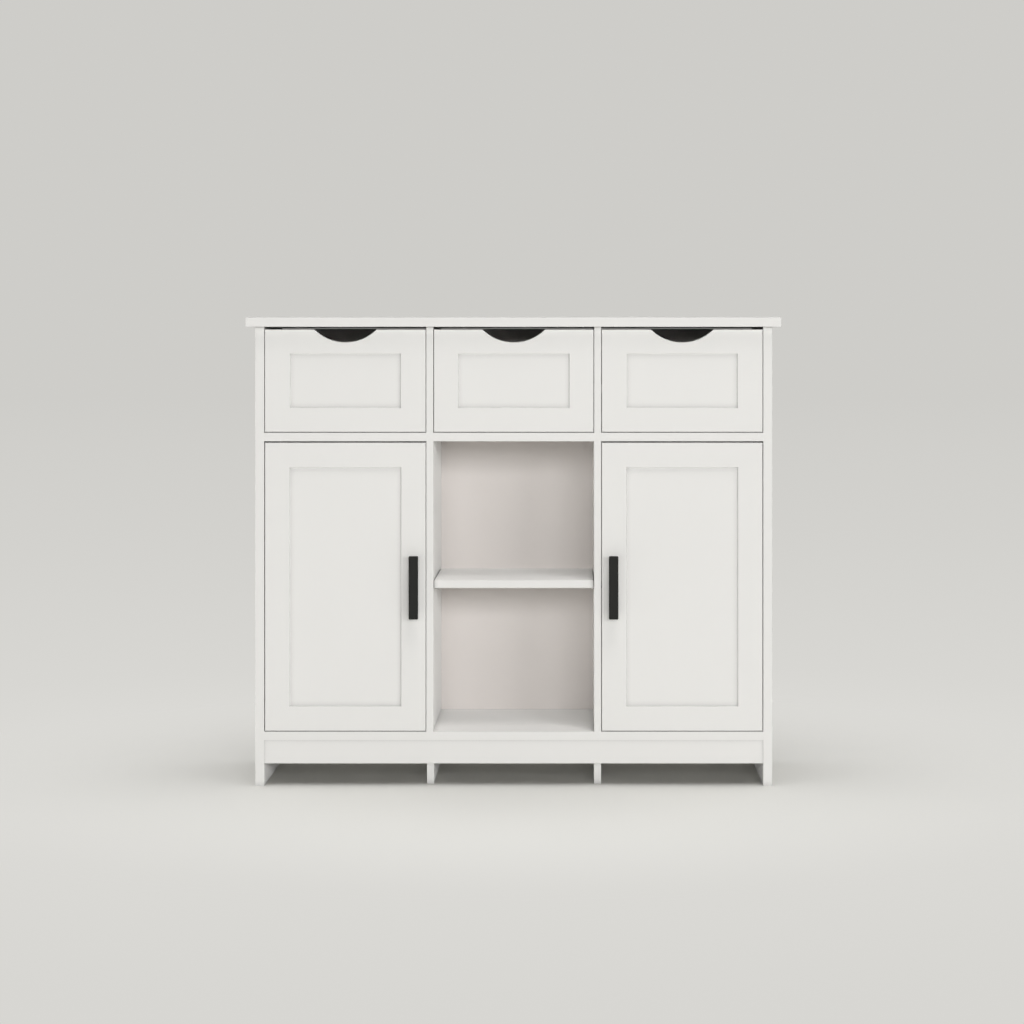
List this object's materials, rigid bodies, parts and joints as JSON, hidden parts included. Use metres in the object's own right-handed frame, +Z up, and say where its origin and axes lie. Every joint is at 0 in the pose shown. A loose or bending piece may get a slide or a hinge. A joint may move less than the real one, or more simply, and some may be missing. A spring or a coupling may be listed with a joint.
{
  "type": "sideboard buffet",
  "caption": "White sideboard buffet: a row of drawers with crescent finger cut-outs over two hinged doors and an open centre bay with an adjustable shelf.",
  "frame": {"origin": "on the floor, under the middle of the whole sideboard with its handles", "axes": "+X to the right of someone facing the front, +Y from the front to the back, +Z up"},
  "size_m": [1, 0.361, 0.878],
  "materials": {
    "white_lacquer": "smooth satin white lacquer on fibreboard",
    "white_back": "thin hardboard with a white printed face",
    "drawer_board": "white foil on board",
    "runner_plastic": "moulded white plastic",
    "beech": "fluted beech",
    "black_handle": "matte black powder coat",
    "plated_steel": "nickel plated",
    "cast_zinc": "die-cast zinc"
  },
  "bodies": {
    "case": {"top_board": "white_lacquer", "side_panel_left": "white_lacquer", "side_panel_right": "white_lacquer", "bottom_board": "white_lacquer", "mid_board": "white_lacquer", "upper_divider_left": "white_lacquer", "upper_divider_right": "white_lacquer", "lower_divider_left": "white_lacquer", "lower_divider_right": "white_lacquer", "foot_board_left": "white_lacquer", "foot_board_right": "white_lacquer", "apron": "white_lacquer", "back_panel": "white_back", "centre_shelf": "white_lacquer", "left_shelf": "white_lacquer", "right_shelf": "white_lacquer", "shelf_pins": "plated_steel", "drawer_runners_left": "runner_plastic", "drawer_runners_centre": "runner_plastic", "drawer_runners_right": "runner_plastic", "hinge_arms_left": "plated_steel", "hinge_arms_right": "plated_steel", "hinge_plates_left": "plated_steel", "hinge_plates_right": "plated_steel", "case_screws": "plated_steel", "cam_bolts": "plated_steel", "cam_discs": "cast_zinc", "case_dowels": "beech", "back_nails": "plated_steel"},
    "left_door": {"door_left": "white_lacquer", "handle_left": "black_handle", "handle_screws_left": "plated_steel", "hinge_cups_left": "plated_steel", "hinge_pins_left": "plated_steel"},
    "right_door": {"door_right": "white_lacquer", "handle_right": "black_handle", "handle_screws_right": "plated_steel", "hinge_cups_right": "plated_steel", "hinge_pins_right": "plated_steel"},
    "left_drawer": {"left_drawer_front": "white_lacquer", "left_drawer_side_left": "drawer_board", "left_drawer_side_right": "drawer_board", "left_drawer_back": "drawer_board", "left_drawer_bottom": "white_back", "left_drawer_dowels": "beech"},
    "centre_drawer": {"centre_drawer_front": "white_lacquer", "centre_drawer_side_left": "drawer_board", "centre_drawer_side_right": "drawer_board", "centre_drawer_back": "drawer_board", "centre_drawer_bottom": "white_back", "centre_drawer_dowels": "beech"},
    "right_drawer": {"right_drawer_front": "white_lacquer", "right_drawer_side_left": "drawer_board", "right_drawer_side_right": "drawer_board", "right_drawer_back": "drawer_board", "right_drawer_bottom": "white_back", "right_drawer_dowels": "beech"}
  },
  "joints": [
    {"name": "left_door_hinge", "type": "hinge", "parent": "case", "child": "left_door", "pos_m": [-0.45398, -0.1481, 0.37295], "axis": [0, 0, -1], "range_deg": [0, 95]},
    {"name": "right_door_hinge", "type": "hinge", "parent": "case", "child": "right_door", "pos_m": [0.45398, -0.1481, 0.37295], "axis": [0, 0, 1], "range_deg": [0, 95]},
    {"name": "left_drawer_slide", "type": "slide", "parent": "case", "child": "left_drawer", "axis": [0, -1, 0], "range_m": [0, 0.2]},
    {"name": "centre_drawer_slide", "type": "slide", "parent": "case", "child": "centre_drawer", "axis": [0, -1, 0], "range_m": [0, 0.2]},
    {"name": "right_drawer_slide", "type": "slide", "parent": "case", "child": "right_drawer", "axis": [0, -1, 0], "range_m": [0, 0.2]}
  ]
}
